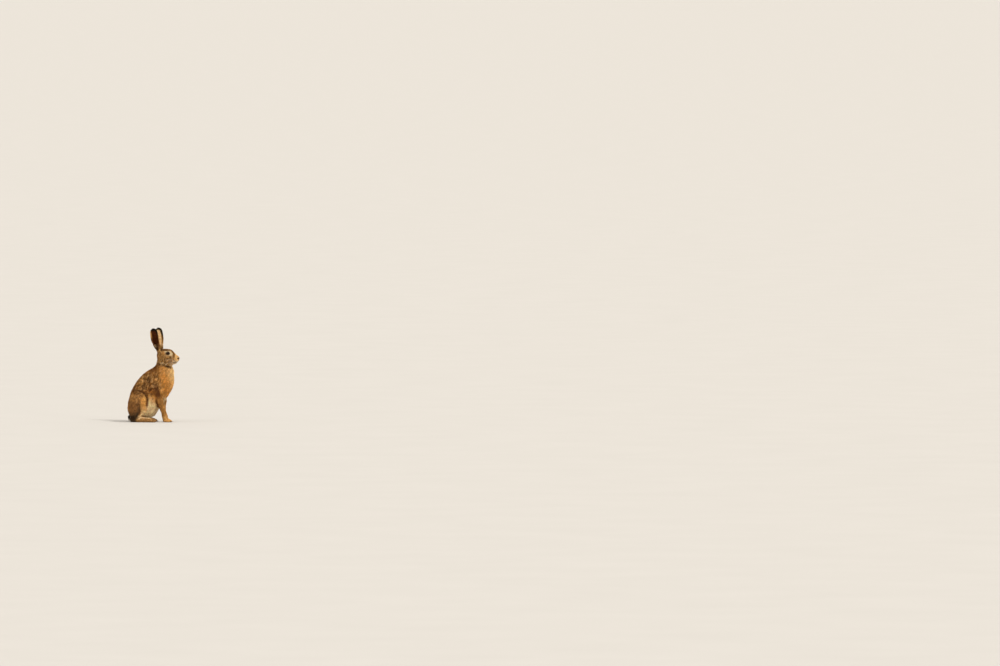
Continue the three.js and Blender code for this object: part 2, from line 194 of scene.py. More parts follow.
# How the coat lies: place in mm (left side), the way of the hair, skin depth, hair length, width, and
# density for each mm2
coatPlan = np.array([
    # nose, muzzle, chin, cheek, brow, crown, nape, jaw
    (134, 2, 290, -0.75, 0.1, 0.65, 0.5, 3.4, 0.70, 0.55),
    (122, 13, 281, -0.95, 0.2, -0.25, 0.6, 4.2, 0.75, 0.55),
    (112, 4, 264, -0.85, 0.1, -0.5, 0.9, 5.5, 0.85, 0.5),
    (100, 18, 300, -0.95, 0.25, 0.0, 0.9, 5.0, 0.80, 0.55),
    (85, 28, 283, -0.9, 0.1, -0.42, 1.5, 7.0, 0.95, 0.5),
    (102, 2, 318, -0.85, 0.05, 0.5, 0.9, 4.6, 0.80, 0.55),
    (64, 4, 333, -1.0, 0.05, -0.05, 1.2, 6.5, 0.95, 0.5),
    (34, 6, 300, -0.3, 0.0, -0.95, 2.2, 10, 1.25, 0.4),
    (60, 27, 265, -0.7, 0.1, -0.7, 2.4, 9.5, 1.20, 0.4),
    # ears
    (50, 13, 325, -0.2, 0.15, 1.0, 0.7, 5.2, 0.80, 0.7),
    (42, 22, 365, -0.2, 0.15, 1.0, 0.5, 4.6, 0.70, 0.8),
    (33, 30, 420, -0.2, 0.15, 1.0, 0.45, 4.2, 0.65, 0.8),
    # throat, neck, nape, shoulder
    (100, 0, 243, 0.05, 0.0, -1.0, 3.6, 13, 1.6, 0.28),
    (62, 35, 235, -0.35, 0.05, -0.93, 3.6, 13, 1.6, 0.28),
    (15, 8, 250, -0.5, 0.0, -0.87, 3.2, 12, 1.5, 0.28),
    (40, 45, 190, -0.35, 0.05, -0.93, 3.8, 14, 1.7, 0.26),
    (45, 44, 145, -0.25, 0.05, -0.95, 3.4, 13, 1.6, 0.26),
    # back, rump, flank
    (-30, 5, 212, -0.62, 0.0, -0.78, 3.8, 14.5, 1.75, 0.26),
    (-76, 5, 150, -0.36, 0.0, -0.93, 4.0, 15.5, 1.8, 0.25),
    (-99, 5, 75, -0.04, 0.0, -1.0, 4.2, 15.5, 1.8, 0.25),
    (-90, 20, 30, 0.1, 0.0, -1.0, 3.6, 13, 1.7, 0.26),
    (-10, 50, 140, -0.5, 0.05, -0.86, 3.8, 14.5, 1.75, 0.26),
    (-45, 48, 165, -0.5, 0.05, -0.86, 3.8, 13.5, 1.75, 0.26),
    (-66, 54, 145, -0.5, 0.0, -0.86, 3.2, 8.5, 1.5, 0.3),
    (-40, 56, 148, -0.5, 0.0, -0.86, 3.2, 8.5, 1.5, 0.3),
    (-12, 52, 133, -0.5, 0.0, -0.86, 3.2, 9, 1.5, 0.3),
    # chest, belly
    (112, 3, 200, -0.06, 0.0, -1.0, 4.4, 16, 1.8, 0.25),
    (88, 5, 130, -0.4, 0.0, -0.92, 4.6, 17, 1.8, 0.25),
    (22, 5, 55, -0.3, 0.0, -0.95, 4.6, 17, 1.9, 0.25),
    (10, 40, 85, -0.3, 0.0, -0.95, 4.2, 16, 1.8, 0.25),
    (-20, 5, 25, -0.75, 0.0, -0.5, 3.8, 14, 1.8, 0.25),
    # thigh
    (-30, 60, 112, -0.35, 0.05, -0.93, 2.8, 11.5, 1.5, 0.3),
    (-62, 64, 78, -0.28, 0.0, -0.96, 2.8, 11.5, 1.5, 0.3),
    (-62, 60, 34, -0.2, 0.0, -0.98, 2.0, 9, 1.3, 0.36),
    (-95, 45, 60, -0.05, 0.0, -1.0, 3.0, 12, 1.5, 0.3),
    # foreleg, wrist, paw, toes
    (50, 40, 112, 0.08, 0.0, -1.0, 2.0, 9, 1.25, 0.36),
    (61, 26, 62, 0.1, 0.0, -1.0, 1.4, 7, 1.0, 0.48),
    (68, 22, 30, 0.28, 0.0, -0.95, 1.1, 6, 0.9, 0.55),
    (84, 21, 15, 0.9, 0.0, -0.42, 0.9, 5, 0.85, 0.6),
    (101, 21, 7, 0.95, 0.0, -0.3, 0.8, 4.5, 0.8, 0.6),
    # hind foot
    (-76, 42, 14, 0.3, 0.0, -0.9, 1.1, 6, 0.95, 0.55),
    (-20, 43, 20, 1.0, 0.0, -0.08, 1.2, 7, 1.0, 0.5),
    (32, 43, 9, 0.97, 0.0, -0.25, 0.8, 5, 0.85, 0.6),
    # tail
    (-86, 14, 22, -0.3, 0.75, -0.55, 2.8, 12, 1.5, 0.34),
    (-86, 36, 12, -0.3, 0.85, -0.35, 2.2, 10, 1.4, 0.36),
])


# The coat's plan at each place: hair direction, then depth, length, width and density
def coatAt(p):
    y = np.abs(p[:, 1])
    q = np.stack([p[:, 0], y, p[:, 2]], 1)
    total = np.zeros(len(p))
    mixed = np.zeros((len(p), coatPlan.shape[1] - 3))
    for row in coatPlan:
        far = ((q - row[:3]) ** 2).sum(1)
        weight = 1 / (far**2 + 5.0**4)
        total += weight
        mixed += weight[:, None] * row[3:]
    mixed /= total[:, None]
    mixed[:, 1] *= np.where(p[:, 1] < 0, -1, 1)
    return mixed


# Markings: the colour of the hair at each place, as 0 to 255 values of the screen
fur = {
    "back": (176, 121, 59),
    "flank": (168, 98, 30),
    "nape": (110, 62, 19),
    "chest": (200, 134, 60),
    "chestPale": (250, 204, 140),
    "belly": (255, 217, 166),
    "thigh": (146, 98, 52),
    "thighFront": (230, 166, 86),
    # near-black: darker fur with painted shade over it, on the parts turned away from the light
    "rear": (40, 25, 14),
    # darker fur in the folds and at the edges between parts, with painted shade over it
    "creaseDarkAndShade": (92, 45, 10),
    "foreleg": (188, 130, 64),
    "paw": (230, 175, 104),
    "foot": (178, 132, 78),
    "sole": (84, 60, 38),
    "crown": (218, 160, 94),
    "cheek": (190, 136, 72),
    "cheekDark": (84, 48, 14),
    "muzzle": (240, 190, 124),
    "lips": (252, 218, 172),
    "eyeRing": (255, 226, 182),
    "earBrown": (106, 68, 22),
    "earCream": (232, 194, 144),
    "earRim": (214, 164, 94),
    # painted shade: the ear's paler skin darkened as if in shadow
    "earShade": (84, 34, 5),
    "earTip": (14, 9, 6),
    # painted shadow: under the jaw, in the mouth's slit, in the fold above the thigh and in front of each
    # ear's foot
    "paintedShadow": (62, 32, 8),
    "nostril": (16, 9, 7),
    "nosePad": (158, 112, 78),
    "tailTop": (22, 17, 14),
    "tailSide": (250, 242, 226),
}
fleck = {"dark": (42, 23, 7), "pale": (246, 202, 142)}
earPose = {"left": (9.5, 1.0, -8), "right": (14.5, 4.0, 14)}  # lean and bow to the rear, turn of the opening
earFootX, earFootZ = 51, 306  # where the axes of the ears start
eyeCentre = {side: toMm(np.array(sum(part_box(f"eye_{side}"), Vector()) / 2)) for side in ("left", "right")}
eyeBallRadius = (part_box("eye_left")[1].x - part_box("eye_left")[0].x) / 2 / mm
eyeWay = np.array([0.2, 1.0, 0.12]) / np.linalg.norm([0.2, 1.0, 0.12])


def toLinear(colour):
    c = np.asarray(colour, float) / 255
    return np.where(c <= 0.04045, c / 12.92, ((c + 0.055) / 1.055) ** 2.4)


# Where a place on an ear is: up it from 0 to 1, from its rear to its front edge, and whether inside the cup
def earPlace(p, normal):
    left = p[:, 1] > 0
    back, bow, turn = [np.where(left, *pair) for pair in zip(earPose["left"], earPose["right"])]
    turn = np.radians(turn)
    height = p[:, 2] - earFootZ
    up = height / np.where(left, 117.5, 115.5)
    axisX = earFootX - np.tan(np.radians(back)) * height - bow * np.sin(math.pi * np.clip(up, 0, 1)) ** 2
    forward = (p[:, 0] - axisX) / 17
    openWay = np.stack([-np.sin(turn), np.where(left, 1, -1) * np.cos(turn), 0 * turn], 1)
    inside = ease(0.05, 0.4, (normal * openWay).sum(1))
    return up, forward, inside


# Lines in the side view, x and z: the fold above the thigh, the thigh's lower front edge, the axes of the
# forelegs, the dark line over crown and nose, and the mouth
thighArc = [(-84, 130), (-66, 139), (-46, 143), (-28, 139), (-14, 129), (-4, 113), (0, 96), (-4, 80)]
thighEdge = [(-34, 128), (-32, 98), (-30, 72), (-32, 54), (-41, 36), (-51, 18), (-57, 4)]
foreAxes = {
    "left": [(52, 118), (56, 96), (56.5, 60), (63, 28)],
    "right": [(44, 118), (48, 96), (62.5, 60), (73.5, 28)],
}
bridge = [(66, 331), (82, 330), (97, 324), (107, 317), (114, 305), (111, 291)]
mouth = [(109, 268), (112, 268.3), (118, 268.6), (123, 268.6), (127.5, 269.4), (131, 272)]
nostrilAt = (131, 8.7, 287.2)
slitTurn = np.array([[0.73, 0, -0.68], [0, 1, 0], [0.68, 0, 0.73]])  # the slant of the nostril


# Place along x of a line in the side view, at the height of each point
def lineAt(p, line):
    xs, zs = zip(*sorted(line, key=lambda at: at[1]))
    return np.interp(p[:, 2], zs, xs)


# 1 at the edge of a nostril, a slanting slit, and less inside it
def fromNostril(p):
    q = np.stack([p[:, 0], np.abs(p[:, 1]), p[:, 2]], 1)
    turned = (q - nostrilAt) @ slitTurn
    return np.linalg.norm(turned / [5.4, 5.0, 2.9], axis=1)


# The left hind leg is 12 mm further back, so the lines of the right one are moved for it
def asRight(p):
    return p + np.where(p[:, 1] > 0, 12.0, 0.0)[:, None] * [1, 0, 0]


# Height over a sloping plane that parts the head from the neck
def headHeight(p):
    return p[:, 2] + 0.36 * (p[:, 0] - 66)


def tailRegion(p, soft):
    return region(p, (-86, 20, 18), (20, 27, 24), soft, side=-1)


# From the middle of an eye: the way to each place, then how far it is along the eye's axis and off it
def fromEye(p, name, side):
    way = eyeWay * [1, side, 1]
    away = p - eyeCentre[name]
    along = away @ way
    return away, along, np.linalg.norm(away - along[:, None] * way, axis=1)


# 1 on the forelegs, and how far from the axis to the front each place is
def foreMask(p):
    axis = np.where(p[:, 1] > 0, lineAt(p, foreAxes["left"]), lineAt(p, foreAxes["right"]))
    ahead = p[:, 0] - axis
    near = fade(17, 21, np.hypot(ahead, 0.85 * (np.abs(p[:, 1]) - 24)))
    return near * fade(104, 128, p[:, 2]), ahead


def markings(p, normal):
    y = np.abs(p[:, 1])
    x, z = p[:, 0], p[:, 2]
    colour = np.tile(np.array(fur["back"], float), (len(p), 1))

    def paint(name, mask):
        nonlocal colour
        colour = colour + np.clip(mask, 0, 1)[:, None] * (np.array(fur[name], float) - colour)

    def spot(name, centre, radii, soft, much=1):
        paint(name, region(p, centre, radii, soft) * much)

    wander = softNoise(p, 38, 3) * 5 + softNoise(p, 13, 5) * 4
    spot("flank", (20, 48, 122), (48, 40, 54), 0.5)
    paint("nape", fade(34, 64, x + wander) * ease(200, 250, z) * fade(318, 330, z))
    spot("nape", (-58, 0, 190), (46, 16, 70), 0.6, 0.6)
    # painted shade over darker fur: the hollow behind the shoulder and the one above the thigh
    spot("creaseDarkAndShade", (14, 48, 172), (26, 34, 46), 0.7, 0.4)
    spot("creaseDarkAndShade", (-62, 44, 152), (30, 44, 16), 0.8, 0.65)
    chest = ease(26, 74, x + wander + 0.16 * (200 - z)) * ease(92, 124, z) * fade(246, 262, z)
    paint("chest", chest)
    paint("chestPale", chest * ease(80, 108, x + wander * 0.6) * (0.35 + 0.65 * ease(165, 225, z)))
    spot("chestPale", (98, 0, 234), (30, 44, 22), 0.5, 0.5)
    belly = fade(78, 124, z + wander + 0.2 * (x - 10)) * ease(-44, -26, x) * fade(58, 74, x)
    paint("thighFront", fade(116, 144, z + wander) * ease(-20, 0, x) * fade(30, 44, x) * 0.7)
    paint("belly", belly)
    spot("belly", (12, 44, 94), (14, 22, 24), 0.6, 0.5)
    paint("tailSide", belly * fade(40, 78, z) * 0.2)
    paint("belly", fade(40, 62, z) * fade(20, 30, y) * ease(-86, -60, x))
    paint("belly", fade(112, 132, z + wander) * fade(30, 40, y) * ease(58, 72, x) * ease(84, 92, z))
    # rump and thigh
    hind = asRight(p)
    thighSide = ease(30, 42, y) * fade(130, 144, z) * fade(-12, 0, hind[:, 0])
    edge = hind[:, 0] - lineAt(p, thighEdge) + wander * 0.35
    # darker fur and painted shade at the lower back of the rump
    paint("rear", fade(-92, -78, x) * fade(20, 70, z))
    paint("thigh", thighSide)
    # painted highlight: the top of the thigh in the lighter colour of the back, where the light falls on it
    paint("back", thighSide * region(p, (-62, 58, 116), (26, 30, 18), 0.6) * 0.7)
    paint("thighFront", thighSide * ease(-5, 12, edge) * (1 - ease(112, 134, z) * 0.6))
    paint("belly", ease(24, 34, y) * ease(-2, 8, edge) * fade(38, 92, z + wander) * fade(20, 40, x))
    # darker fur and painted shade on the back part of the thigh
    paint("rear", thighSide * fade(-6, 2, edge) * ease(-26, -2, edge + 0.1 * (60 - z))
          * fade(60, 112, z) * 0.6)
    paint("rear", thighSide * fade(-8, 3, edge) * fade(18, 66, z + wander))
    # painted shade over darker fur along the fold above the thigh, with a narrower painted shadow deeper in
    # it
    paint("creaseDarkAndShade", fade(2.5, 7.5, fromLine(hind - [0, 0, 4], thighArc)) * ease(26, 36, y))
    paint("paintedShadow", fade(1, 5, fromLine(hind - [0, 0, 3], thighArc[1:5])) * ease(26, 36, y) * 0.8)
    # legs
    leg, ahead = foreMask(p)
    # painted shade over darker fur along the back of the upper arm
    shoulder = [(38, 168), (45, 146), (47, 114)]
    paint("creaseDarkAndShade", fade(3, 19, fromLine(p, shoulder) + wander * 0.4) * ease(20, 34, y) * 0.95)
    paint("foreleg", leg)
    # painted shade over darker fur down the back edge of each foreleg
    paint("creaseDarkAndShade", leg * fade(-13, -3, ahead) * ease(34, 84, z) * 0.75)
    paint("paw", leg * ease(2, 12, ahead) * fade(60, 100, z) * 0.6)
    paint("belly", leg * fade(12, 20, y) * 0.6)
    paint("paw", fade(24, 36, z) * ease(44, 52, x))
    paint("foot", fade(24, 30, z) * fade(42, 50, x) * ease(20, 26, y))
    footTop = fade(30, 36, z) * ease(15, 19, z + wander * 0.3) * ease(20, 26, y)
    paint("belly", footTop * ease(-54, -40, hind[:, 0]) * fade(4, 22, x) * 0.9)
    # darker fur and painted shade where the hind foot meets the thigh behind
    paint("rear", fade(28, 34, z) * fade(-58, -46, hind[:, 0] + wander * 0.5) * ease(20, 26, y) * 0.9)
    paint("sole", fade(1.5, 5, z))
    # tail: dark above, white below and at its edges
    tail = tailRegion(p, 0.12) * fade(-76, -70, x)
    paint("tailSide", tail)
    paint("tailTop", tail * ease(-0.1, 0.45, normal[:, 2] - 0.35 * normal[:, 1]))
    # head
    head = ease(254, 268, headHeight(p)) * fade(330, 338, z) * ease(22, 44, x)
    paint("cheek", head)
    paint("crown", head * ease(306, 322, z - 0.1 * (x - 80)))
    paint("muzzle", head * ease(106, 120, x + 0.15 * (290 - z)))
    paint("cheekDark", head * fade(1, 3.5, fromLine(p, bridge[:4])) * fade(13, 20, y) * 0.8)
    paint("cheekDark", head * fade(2, 6.5, fromLine(p, bridge[3:])) * ease(3, 9, y) * 0.6)
    spot("lips", (124, 6, 269), (17, 14, 10), 0.35)
    spot("lips", (104, 0, 260), (22, 14, 9), 0.4, 0.8)
    for name, side in (("left", 1), ("right", -1)):
        centre = eyeCentre[name]
        away, along, ring = fromEye(p, name, side)
        near = (along > -2) * head
        patch = [(centre[0] + 3, 313), (centre[0] + 15, 306), (centre[0] + 19, 292)]
        browStreak = [(centre[0] - 11, 321), (centre[0] + 3, 323), (centre[0] + 14, 319)]
        onSide = near * (side * p[:, 1] > 6)
        paint("eyeRing", onSide * fade(1.5, 5, fromLine(p, browStreak)) * 0.8)
        paint("eyeRing", onSide * fade(3, 8, fromLine(p, patch[1:])) * 0.5)
        paint("eyeRing", onSide * fade(5, 10, fromLine(p, patch[:2])))
        paint("eyeRing", near * fade(12.5, 16.5, ring)
              * (0.4 + 0.6 * ease(-6, 6, 0.6 * away[:, 0] + away[:, 2])))
        # x and z from the eye's own x, half width and height, strength
        spots = [(28.5, 277, 4.5, 9, 1), (-9, 287, 5, 8, 0.8), (-20, 281, 4, 7, 0.7), (-9, 273, 6, 4, 0.7),
                 (14, 291, 3.5, 6, 0.6), (4, 288, 8, 3, 0.5), (-32, 284, 5, 10, 0.6), (9, 269, 6, 4, 0.5)]
        spots = [(centre[0] + ahead, *rest) for ahead, *rest in spots]
        for atX, atZ, wide, high, much in spots:  # dark patches: ahead of the pale one, and on the cheek
            far = np.hypot((x - atX + wander * 0.3) / wide, (z - atZ) / high)
            paint("cheekDark", near * fade(0.5, 1.2, far) * (side * p[:, 1] > 5) * much)
        upright = away[:, 2] - along * eyeWay[2]
        paint("nostril", near * fade(9.4, 11.0, np.hypot(ring, 0.75 * upright)))
    broken = softNoise(p, 8, 19)
    # painted shadow under the jaw, solid at the front and broken up further back
    jawShadow = fade(2.5, 7, fromLine(p, [(44, 267), (60, 260), (75, 258), (89, 253), (106, 248)]))
    jawShadow *= ease(70, 88, x) + fade(70, 88, x) * (0.35 + 0.65 * ease(-0.2, 0.4, broken))
    paint("paintedShadow", jawShadow * fade(104, 112, x) * ease(6, 16, y))
    jawEdge = fade(2.5, 5.5, fromLine(p, [(50, 274), (67, 268), (86, 263.5), (99, 261)]))
    paint("lips", jawEdge * ease(-0.1, 0.2, broken) * ease(6, 16, y))
    spot("nosePad", (134, 2, 284), (6, 6, 6), 0.4, 0.7)
    paint("nostril", fade(0.85, 1.25, fromNostril(p)))
    centreLine = fade(0.6, 1.5, y) * ease(127, 130, x) * ease(268, 272, z) * fade(282, 285, z)
    paint("nostril", centreLine * 0.85)
    # painted shadow in the slit of the mouth
    paint("paintedShadow", head * fade(0.7, 1.6, fromLine(p, mouth)) * 0.9)
    # ears
    up, forward, inside = earPlace(p, normal)
    ear = ease(0.06, 0.16, up) * ease(316, 322, z)
    outside = fade(0.55, 0.85, forward + 0.1 * softNoise(p, 16, 8))
    paint("earBrown", ear)
    paint("earRim", ear * (1 - inside) * ease(0.5, 0.8, forward) * fade(0.4, 0.6, up) * 0.6)
    paint("earCream", ear * outside * ease(0.2, 0.36, up))
    paint("earRim", ear * outside * (1 - inside) * ease(0.3, 0.9, softNoise(p * [1, 1, 0.25], 11, 21)) * 0.5)
    # painted shade in the cup of each ear, and the same dark on the lower rear edge outside the cup
    paint("earShade", ear * inside * ease(0.1, 0.22, up))
    paint("earShade", ear * (1 - inside) * fade(-0.8, -0.45, forward) * fade(0.52, 0.68, up) * 0.75)
    paint("earRim", ear * fade(-0.9, -0.66, forward) * ease(0.5, 0.7, up))
    paint("earRim", ear * inside * ease(0.8, 0.97, forward) * ease(0.15, 0.3, up) * 0.5)
    strands = ease(-0.1, 0.5, softNoise(p * [1, 1, 0.2], 6, 37))
    paint("lips", ear * region(p, (36, 24, 338), (10, 18, 12), 0.3) * (0.3 + 0.7 * strands))
    spot("earRim", (49, 18, 322), (5, 14, 18), 0.5, 0.8)
    # painted shadow in front of the foot of each ear
    spot("paintedShadow", (57, 14, 324), (5, 9, 9), 0.4, 0.9)
    paint("earTip", ear * ease(0.87, 0.93, up + 0.22 * ease(0.35, 0.9, forward) + 0.02 * softNoise(p, 7, 4)))
    return colour


# Flecks: dark and pale marks, stretched along the hair of the flank, strongest on shoulder and flank
def flecked(p, colour, tufts=None):
    along, across = 0.5 * p[:, 0] + 0.86 * p[:, 2], 0.86 * p[:, 0] - 0.5 * p[:, 2]
    q = np.stack([0.62 * along, 1.4 * across, p[:, 1]], 1)
    body = 0.45 + 0.55 * region(p, (6, 46, 178), (46, 70, 42), 0.6)
    body *= 1 - 0.75 * region(p, (104, 0, 185), (46, 60, 82), 0.4)
    body *= 1 - 0.75 * region(p, (40, 46, 122), (18, 30, 36), 0.4)
    body *= 1 - 0.8 * fade(76, 126, p[:, 2])
    head = 0.65 * (1 - 0.8 * ease(98, 112, p[:, 0]))
    head = head * (1 - 0.85 * region(p, (94, 20, 311), (28, 20, 18), 0.3))
    isHead = ease(254, 262, headHeight(p))
    strength = body + isHead * (head - body)
    strength *= np.where(p[:, 2] > 333, 0.15, 1)
    fine = softNoise(q, 11, 11, 9) * (1 - isHead) + softNoise(q, 6.5, 13, 9) * isHead
    dark = ease(0.15, 0.6, fine) * strength * 0.75
    pale = ease(0.15, 0.5, softNoise(q + [31, 7, 3], 9, 23, 9)) * strength * 0.85
    if tufts is not None:  # whole locks are dark or pale, and so are single tufts
        random, tone = tufts["random"], tufts["tone"]
        single = 0.3 + strength
        dark = dark + ease(0.4, 0.75, tone) * strength + (random.random(len(p)) < 0.14) * 0.5 * single
        pale = pale + ease(0.45, 0.8, -tone) * strength + (random.random(len(p)) < 0.14) * 0.5 * single
    dark = np.clip(dark, 0, 1)
    pale = np.clip(pale, 0, 1) * (1 - 0.8 * dark)
    colour = colour + (0.75 * dark)[:, None] * (np.array(fleck["dark"], float) - colour)
    return colour + (0.62 * pale)[:, None] * (np.array(fleck["pale"], float) - colour)


# Camera, light and floor
view = {"azimuth": 8.2, "rise": 1.9, "distance": 50.0, "lens": 400, "aimX": 1.5606, "aimZ": 0.4,
        "floor": 1500.0}


# The way from the hare to a camera or light, from its angles in degrees
def wayTo(azimuth, rise):
    turn, up = math.radians(azimuth), math.radians(rise)
    return Vector((math.sin(turn) * math.cos(up), -math.cos(turn) * math.cos(up), math.sin(up)))


def addCamera():
    turn = math.radians(view["azimuth"])
    right = Vector((math.cos(turn), math.sin(turn), 0))
    back = wayTo(view["azimuth"], view["rise"])
    up = back.cross(right)
    place = right * view["aimX"] + up * view["aimZ"] + back * view["distance"]
    bpy.ops.object.camera_add(location=place)
    camera = bpy.context.object
    camera.name = "photoCamera"
    camera.rotation_euler = Matrix((right, up, back)).transposed().to_euler()
    camera.data.lens = view["lens"]
    camera.data.sensor_width = 36
    camera.data.clip_start = 0.5
    camera.data.clip_end = 4000
    bpy.context.scene.camera = camera


def addLight(name, azimuth, rise, strength, angle, colour):
    bpy.ops.object.light_add(type="SUN", location=(0, 0, 3))
    light = bpy.context.object
    light.name = name
    light.rotation_euler = wayTo(azimuth, rise).to_track_quat("Z", "Y").to_euler()
    light.data.energy = strength
    light.data.angle = math.radians(angle)
    light.data.color = colour


# One socket of a material's nodes, so that shader maths reads as arithmetic
class Wire:
    def __init__(self, tree, socket=None):
        self.tree = tree
        self.socket = socket

    # Adds a node: its settings first, then the values or wires of its sockets
    def make(self, kind, settings=None, inputs=None, output=0):
        node = self.tree.nodes.new(kind)
        for name, value in (settings or {}).items():
            setattr(node, name, value)
        for name, value in (inputs or {}).items():
            if isinstance(value, Wire):
                self.tree.links.new(value.socket, node.inputs[name])
            else:
                node.inputs[name].default_value = value
        return Wire(self.tree, node.outputs[output]) if output is not None else node

    def maths(self, operation, first, second):
        return self.make("ShaderNodeMath", {"operation": operation}, {0: first, 1: second})

    def __add__(self, other):
        return self.maths("ADD", self, other)

    def __sub__(self, other):
        return self.maths("SUBTRACT", self, other)

    def __mul__(self, other):
        return self.maths("MULTIPLY", self, other)

    def __truediv__(self, other):
        return self.maths("DIVIDE", self, other)

    def __rsub__(self, other):
        return self.maths("SUBTRACT", other, self)

    def __rtruediv__(self, other):
        return self.maths("DIVIDE", other, self)

    __radd__ = __add__
    __rmul__ = __mul__

    def between(self, low, high):
        return self.make("ShaderNodeMapRange", {"interpolation_type": "SMOOTHSTEP"},
                         {"Value": self, "From Min": low, "From Max": high})

    def mixed(self, first, second):
        return self.make("ShaderNodeMix", {"data_type": "RGBA"}, {0: self, 6: first, 7: second}, output=2)

    def noise(self, scale, detail=2.0, rough=0.5):
        place = self.make("ShaderNodeTexCoord", output="Object")
        return self.make("ShaderNodeTexNoise", {"noise_dimensions": "3D"},
                         {"Vector": place, "Scale": scale, "Detail": detail, "Roughness": rough})


def newMaterial(name):
    material = bpy.data.materials.new(name)
    material.use_nodes = True
    material.node_tree.nodes.clear()
    return material, Wire(material.node_tree)


def finishMaterial(wire, inputs):
    surface = wire.make("ShaderNodeBsdfPrincipled", {}, inputs, output="BSDF")
    wire.make("ShaderNodeOutputMaterial", {}, {"Surface": surface}, output=None)


def hairMaterial(name, sheen, rough, grain):
    material, wire = newMaterial(name)
    marks = wire.make("ShaderNodeAttribute", {"attribute_name": "marks"}, output="Color")
    fine = wire.noise(grain, rough=0.6)
    broad = wire.noise(42.0, 1.0)
    shade = fine.between(0.3, 0.7) * 0.3 + broad.between(0.25, 0.75) * 0.16 + 0.77
    grey = wire.make("ShaderNodeCombineColor", {}, {0: shade, 1: shade, 2: shade})
    colour = wire.make("ShaderNodeMix", {"data_type": "RGBA", "blend_type": "MULTIPLY"},
                       {0: 1.0, 6: marks, 7: grey}, output=2)
    bump = wire.make("ShaderNodeBump", {}, {"Strength": 0.35, "Distance": 0.0004, "Height": fine})
    finishMaterial(wire, {"Base Color": colour, "Roughness": fine * 0.2 + rough, "Normal": bump,
                          "Sheen Weight": sheen, "Sheen Roughness": 0.5, "Sheen Tint": (1.0, 0.76, 0.4, 1),
                          "Specular IOR Level": 0.06})
    return material


scene = bpy.context.scene
scene.view_settings.view_transform = "Standard"
addCamera()
addLight("keyLight", 58, 46, 2.5, 14, (1.0, 0.97, 0.92))
addLight("fillLight", -48, 34, 0.45, 40, (1.0, 0.98, 0.96))

world = bpy.data.worlds.new("paleWorld")
scene.world = world
world.use_nodes = True
worldWire = Wire(world.node_tree)
world.node_tree.nodes.clear()
sky = worldWire.make("ShaderNodeBackground", {}, {"Color": (0.96, 0.90, 0.82, 1), "Strength": 0.85})
worldWire.make("ShaderNodeOutputWorld", {}, {"Surface": sky}, output=None)

bpy.ops.mesh.primitive_grid_add(x_subdivisions=8, y_subdivisions=8, size=view["floor"], location=(0, 0, 0))
floor = bpy.context.object
floor.name = "paleFloor"
floorMaterial, wire = newMaterial("paleFloor")
mottle = wire.noise(3.0, 3.0)
floorColour = mottle.mixed((0.545, 0.53, 0.505, 1), (0.585, 0.57, 0.545, 1))
finishMaterial(wire, {"Base Color": floorColour, "Roughness": mottle * 0.1 + 0.8})
floor.data.materials.append(floorMaterial)
print("camera, light and floor ready")

# Skin: one closed surface over head, body, legs, tail and ears, in from the solids by the depth of the coat
skinPlan = {"voxel": 1.4, "swell": 0.45, "faces": 118000, "rounds": 22, "earStub": 338}
bodyNodes = ["head", "neck", "torso", "tail"]
bodyNodes += [f"{part}_{side}" for part in ("foreleg", "forepaw", "haunch", "hind_foot")
              for side in ("left", "right")]
earNodes = ["ear_left", "ear_right"]


def buildBody():
    copies = [copyOfNode(name) for name in bodyNodes]
    for name in earNodes:  # the lower part of each ear, so that it grows out of the head
        stub = copyOfNode(name)
        editAll(stub, bpy.ops.mesh.bisect, plane_co=(0, 0, skinPlan["earStub"] * mm), plane_no=(0, 0, 1),
                use_fill=True, clear_outer=True)
        copies.append(stub)
    for obj in copies:
        writePoints(obj.data, readPoints(obj.data) + readNormals(obj.data) * skinPlan["swell"] * mm)
    body = joinAll(copies, "skin")
    applyModifier(body, "REMESH", mode="VOXEL", voxel_size=skinPlan["voxel"] * mm)
    keepLargest(body)
    return body


def fineMask(p):
    head = ease(258, 268, headHeight(p))
    paws = fade(26, 36, p[:, 2]) * ease(18, 26, np.abs(p[:, 1]))
    paws = np.maximum(paws, fade(26, 34, p[:, 2]) * ease(52, 60, p[:, 0]))
    return np.clip(head + paws, 0, 1)


def thinBody(body):
    p = toMm(readPoints(body.data))
    group = body.vertex_groups.new(name="plain")
    plain = np.nonzero(fineMask(p) < 0.5)[0]
    group.add(plain.tolist(), 1.0, "REPLACE")
    count = sum(len(face.vertices) - 2 for face in body.data.polygons)
    if count > skinPlan["faces"]:
        applyModifier(body, "DECIMATE", ratio=skinPlan["faces"] / count, vertex_group="plain")
    body.vertex_groups.clear()


# Evens out the solids' facets and the joins of limb and body, less on the limbs and not on the face
def relax(mesh, rounds):
    a, b = readAll(mesh.edges, "vertices", 2, np.int32).T
    co = readPoints(mesh)
    p = toMm(co)
    n = len(co)
    degree = np.bincount(a, minlength=n) + np.bincount(b, minlength=n)
    face = ease(72, 92, p[:, 0]) * ease(262, 272, p[:, 2])
    head = ease(258, 268, headHeight(p))
    limbs = np.maximum(fineMask(p) * (1 - head), foreMask(p)[0])
    limbs = np.maximum(limbs, tailRegion(p, 0.15))
    speed = 0.55 * (1 - 0.82 * limbs) * (1 - 0.75 * head) * (1 - 0.9 * face)
    for _ in range(rounds):
        mean = np.empty_like(co)
        for k in range(3):
            mean[:, k] = np.bincount(a, co[b, k], n) + np.bincount(b, co[a, k], n)
        mean /= np.maximum(degree, 1)[:, None]
        co += speed[:, None] * (mean - co)
    writePoints(mesh, co)


